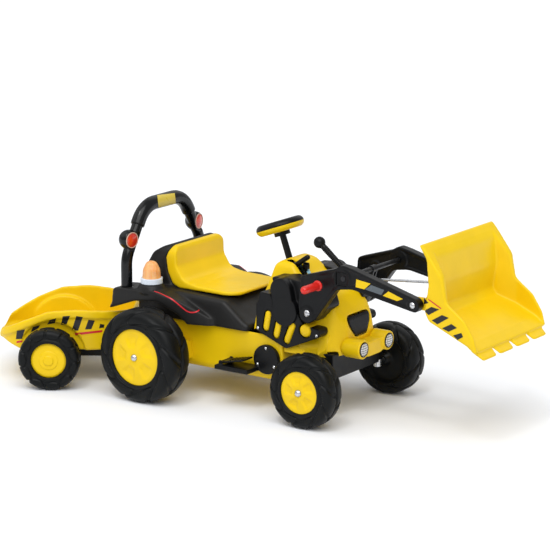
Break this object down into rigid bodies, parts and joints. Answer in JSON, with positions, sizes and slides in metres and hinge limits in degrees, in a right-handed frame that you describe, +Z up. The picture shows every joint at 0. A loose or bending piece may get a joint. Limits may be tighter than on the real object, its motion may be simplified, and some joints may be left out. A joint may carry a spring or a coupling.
{
  "type": "ride on loader tractor toy",
  "caption": "Battery ride-on toy tractor in yellow and black with a tilting front loader bucket, roll bar, beacon and a hitched tub trailer.",
  "frame": {"origin": "on the floor under the middle of the bounding box of tractor and trailer", "axes": "+X forward along the tractor, the longest extent; +Y to the left; +Z up"},
  "size_m": [1.5624, 0.6756, 0.5222],
  "materials": {
    "yellow_plastic": "satin gloss moulded plastic",
    "black_plastic": "semi-gloss moulded plastic",
    "tyre_plastic": "blow-moulded tread, low sheen",
    "zinc_steel": "bright zinc plate",
    "red_plastic": "gloss",
    "red_lens": "clear-coated lens",
    "amber_lens": "translucent dome",
    "clear_lens": "faceted clear lens",
    "white_plastic": "gloss",
    "grey_battery": "moulded case",
    "motor_can": "plated can",
    "nylon": "natural nylon"
  },
  "bodies": {
    "chassis": {"lower_chassis": "yellow_plastic", "hood": "yellow_plastic", "rear_shell": "black_plastic", "seat_pan": "yellow_plastic", "front_grille": "black_plastic", "front_bumper": "yellow_plastic", "headlight_lenses": "clear_lens", "engine_panels": "black_plastic", "loader_towers": "black_plastic", "footrests": "black_plastic", "front_axle_beam": "black_plastic", "rear_axle": "zinc_steel", "gearbox_housing": "yellow_plastic", "gear_motor": "motor_can", "battery": "grey_battery", "roll_bar_legs": "black_plastic", "roll_bar_top": "black_plastic", "lamp_lenses": "red_lens", "beacon_base": "white_plastic", "beacon_dome": "amber_lens", "charge_socket": "black_plastic", "hitch_bracket": "black_plastic", "body_screws": "zinc_steel"},
    "steering": {"steering_rim_upper": "black_plastic", "steering_rim_lower": "yellow_plastic", "steering_hub": "black_plastic", "steering_shaft": "zinc_steel", "column_sleeve": "black_plastic"},
    "horn": {"horn_button": "red_plastic"},
    "knuckle_right": {"right_knuckle": "zinc_steel"},
    "knuckle_left": {"left_knuckle": "zinc_steel"},
    "tie": {"tie_rod": "zinc_steel"},
    "rear_right_wheel": {"rear_right_tyre": "tyre_plastic", "rear_right_hub": "yellow_plastic", "drive_gear": "nylon"},
    "rear_left_wheel": {"rear_left_tyre": "tyre_plastic", "rear_left_hub": "yellow_plastic"},
    "front_right_wheel": {"front_right_tyre": "tyre_plastic", "front_right_hub": "yellow_plastic"},
    "front_left_wheel": {"front_left_tyre": "tyre_plastic", "front_left_hub": "yellow_plastic"},
    "pinion": {"motor_pinion": "motor_can"},
    "loader": {"right_loader_arm": "black_plastic", "left_loader_arm": "black_plastic", "lift_handle": "red_plastic", "loader_bolts": "zinc_steel"},
    "tilt": {"elbow_shaft": "zinc_steel", "tilt_lever": "black_plastic"},
    "rod": {"tilt_rod": "zinc_steel"},
    "scoop": {"bucket": "yellow_plastic"},
    "trailer": {"trailer_tub": "yellow_plastic", "trailer_drawbar": "black_plastic", "trailer_axle": "zinc_steel"},
    "trailer_right_wheel": {"trailer_right_tyre": "tyre_plastic", "trailer_right_hub": "yellow_plastic"},
    "trailer_left_wheel": {"trailer_left_tyre": "tyre_plastic", "trailer_left_hub": "yellow_plastic"},
    "pedal": {"accelerator_pedal": "black_plastic"},
    "shifter": {"gear_lever": "black_plastic"},
    "key": {"ignition_key": "black_plastic"}
  },
  "joints": [
    {"name": "right_steer", "type": "hinge", "parent": "chassis", "child": "knuckle_right", "pos_m": [0.27336, -0.1036, 0.098], "axis": [0, 0, 1], "range_deg": [-22, 22]},
    {"name": "left_steer", "type": "hinge", "parent": "chassis", "child": "knuckle_left", "pos_m": [0.27336, 0.1764, 0.098], "axis": [0, 0, 1], "range_deg": [-22, 22]},
    {"name": "tie_rod_pivot", "type": "hinge", "parent": "knuckle_right", "child": "tie", "pos_m": [0.22836, -0.1036, 0.134], "axis": [0, 0, 1], "range_deg": [-22, 22]},
    {"name": "steering_turn", "type": "hinge", "parent": "chassis", "child": "steering", "pos_m": [0.05036, 0.0364, 0.47], "axis": [-0.342, 0, 0.9397], "range_deg": [-22, 22]},
    {"name": "horn_press", "type": "slide", "parent": "steering", "child": "horn", "axis": [0.342, 0, -0.9397], "range_m": [0, 0.002], "stiffness_N_per_m": 300, "springref_m": -0.002},
    {"name": "rear_right_spin", "type": "hinge", "parent": "chassis", "child": "rear_right_wheel", "pos_m": [-0.21964, 0.0364, 0.128], "axis": [0, 1, 0], "continuous": true},
    {"name": "rear_left_spin", "type": "hinge", "parent": "chassis", "child": "rear_left_wheel", "pos_m": [-0.21964, 0.0364, 0.128], "axis": [0, 1, 0], "continuous": true},
    {"name": "front_right_spin", "type": "hinge", "parent": "knuckle_right", "child": "front_right_wheel", "pos_m": [0.27336, -0.2016, 0.098], "axis": [0, 1, 0], "continuous": true},
    {"name": "front_left_spin", "type": "hinge", "parent": "knuckle_left", "child": "front_left_wheel", "pos_m": [0.27336, 0.2744, 0.098], "axis": [0, 1, 0], "continuous": true},
    {"name": "pinion_spin", "type": "hinge", "parent": "chassis", "child": "pinion", "pos_m": [-0.16947, 0.0364, 0.128], "axis": [0, 1, 0], "continuous": true},
    {"name": "loader_lift", "type": "hinge", "parent": "chassis", "child": "loader", "pos_m": [0.23836, 0.0364, 0.287], "axis": [0, -1, 0], "range_deg": [-20, 25]},
    {"name": "bucket_tilt", "type": "hinge", "parent": "loader", "child": "scoop", "pos_m": [0.56036, 0.0364, 0.35494], "axis": [0, -1, 0], "range_deg": [-32, 18]},
    {"name": "tilt_lever_turn", "type": "hinge", "parent": "loader", "child": "tilt", "pos_m": [0.34623, 0.0364, 0.39294], "axis": [0, -1, 0], "range_deg": [-18, 32]},
    {"name": "tilt_rod_pivot", "type": "hinge", "parent": "tilt", "child": "rod", "pos_m": [0.33743, 0.0364, 0.36426], "axis": [0, -1, 0], "range_deg": [-32, 18]},
    {"name": "hitch_yaw", "type": "hinge", "parent": "chassis", "child": "trailer", "pos_m": [-0.35764, 0.0364, 0.119], "axis": [0, 0, 1], "range_deg": [-72, 8]},
    {"name": "trailer_right_spin", "type": "hinge", "parent": "trailer", "child": "trailer_right_wheel", "pos_m": [-0.60018, -0.11516, 0.085], "axis": [-0.5299, 0.848, 0], "continuous": true},
    {"name": "trailer_left_spin", "type": "hinge", "parent": "trailer", "child": "trailer_left_wheel", "pos_m": [-0.60018, -0.11516, 0.085], "axis": [-0.5299, 0.848, 0], "continuous": true},
    {"name": "pedal_press", "type": "hinge", "parent": "chassis", "child": "pedal", "pos_m": [-0.01264, -0.1246, 0.124], "axis": [0, 1, 0], "range_deg": [0, 9], "stiffness_Nm_per_rad": 0.6, "springref_deg": -8.59},
    {"name": "gear_shift", "type": "hinge", "parent": "chassis", "child": "shifter", "pos_m": [0.11836, 0.0004, 0.356], "axis": [0, 1, 0], "range_deg": [-8, 8]},
    {"name": "key_turn", "type": "hinge", "parent": "chassis", "child": "key", "pos_m": [0.14936, 0.0164, 0.36943], "axis": [0, 0, 1], "range_deg": [0, 60]}
  ],
  "couplings": [
    {"joint": "left_steer", "follows": "right_steer", "ratio": 1},
    {"joint": "tie_rod_pivot", "follows": "right_steer", "ratio": -1},
    {"joint": "steering_turn", "follows": "right_steer", "ratio": 1},
    {"joint": "pinion_spin", "follows": "rear_right_spin", "ratio": -4},
    {"joint": "tilt_lever_turn", "follows": "bucket_tilt", "ratio": -1},
    {"joint": "tilt_rod_pivot", "follows": "bucket_tilt", "ratio": 1}
  ]
}
